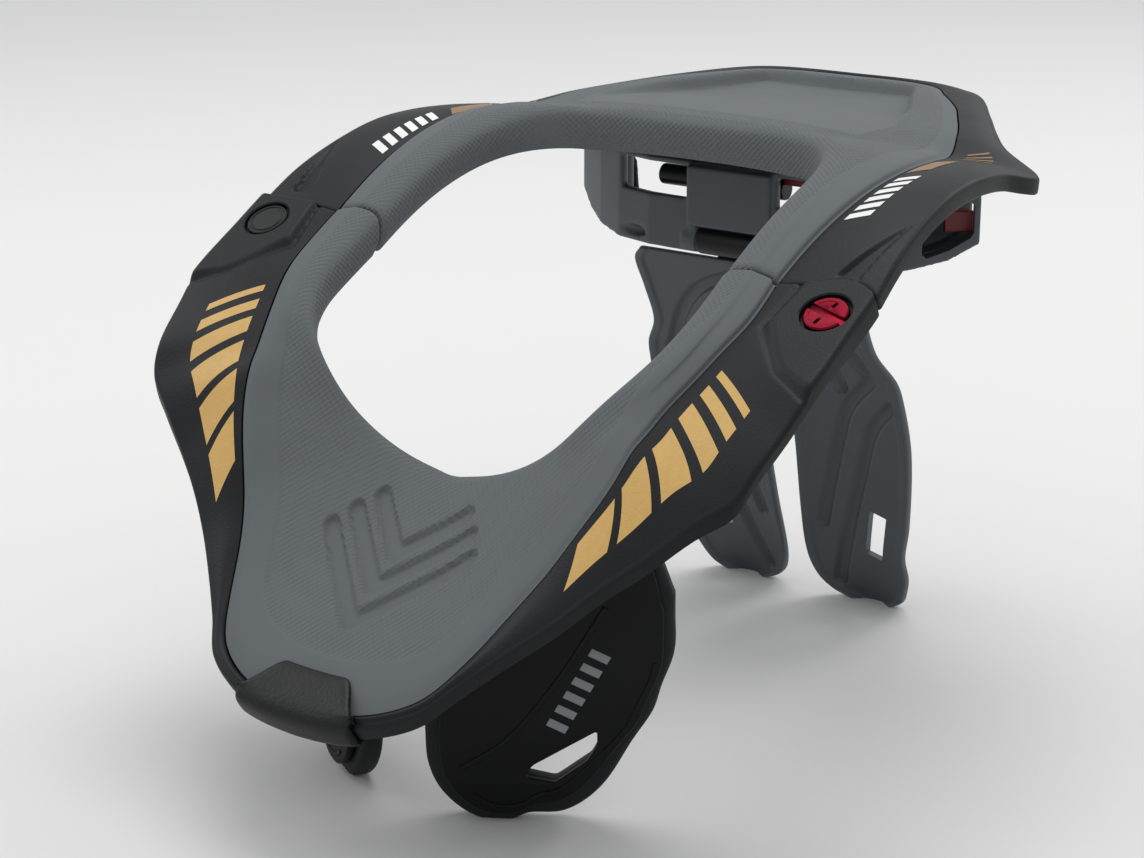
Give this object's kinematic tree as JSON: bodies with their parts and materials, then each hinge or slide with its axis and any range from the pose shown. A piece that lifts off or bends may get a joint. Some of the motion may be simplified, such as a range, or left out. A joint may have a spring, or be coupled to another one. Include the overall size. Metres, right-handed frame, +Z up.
{
  "type": "motocross neck brace",
  "caption": "Padded two-piece protective neck brace that opens on a pivot, with chest wings in front and a folding back strut.",
  "frame": {"origin": "centre of the bounding box in plan, on the surface that the brace stands on", "axes": "+Z up; -Y the way the wearer faces, towards the nose of the front half; +X the wearer's left, the hinged side"},
  "size_m": [0.2972, 0.3944, 0.2389],
  "materials": {
    "shell": "moulded, fine leather-like grain",
    "foam": "moulded foam skin with a fine diamond grain",
    "latch": "moulded, matt",
    "screw": "red anodised, turned",
    "clip": "moulded, satin",
    "nylon": "glass-filled nylon, satin",
    "barrel": "moulded, matt",
    "pin": "plain",
    "rubber": "moulded, matt",
    "panel": "moulded, matt"
  },
  "bodies": {
    "front": {"front_shell": "shell", "front_pad": "foam", "nose_latch": "latch", "pivot_screw": "screw", "pivot_plug": "barrel", "chest_wing_left": "panel", "chest_wing_right": "panel", "chest_wing_pad_left": "rubber", "chest_wing_pad_right": "rubber"},
    "rear": {"rear_shell": "shell", "rear_pad": "foam", "rear_carrier": "nylon", "carrier_clip_left": "clip", "carrier_clip_right": "clip", "adjuster_rod": "barrel", "adjuster_slider": "clip", "hinge_pin": "pin"},
    "strut": {"strut": "nylon", "strut_barrel": "barrel"}
  },
  "joints": [
    {"name": "brace_opening", "type": "hinge", "parent": "front", "child": "rear", "pos_m": [0.134, -0.05527, 0.196], "axis": [0, 0.5, -0.866], "range_deg": [0, 60]},
    {"name": "strut_fold", "type": "hinge", "parent": "rear", "child": "strut", "pos_m": [0, 0.09273, 0.177], "axis": [-1, 0, 0], "range_deg": [0, 75]}
  ]
}
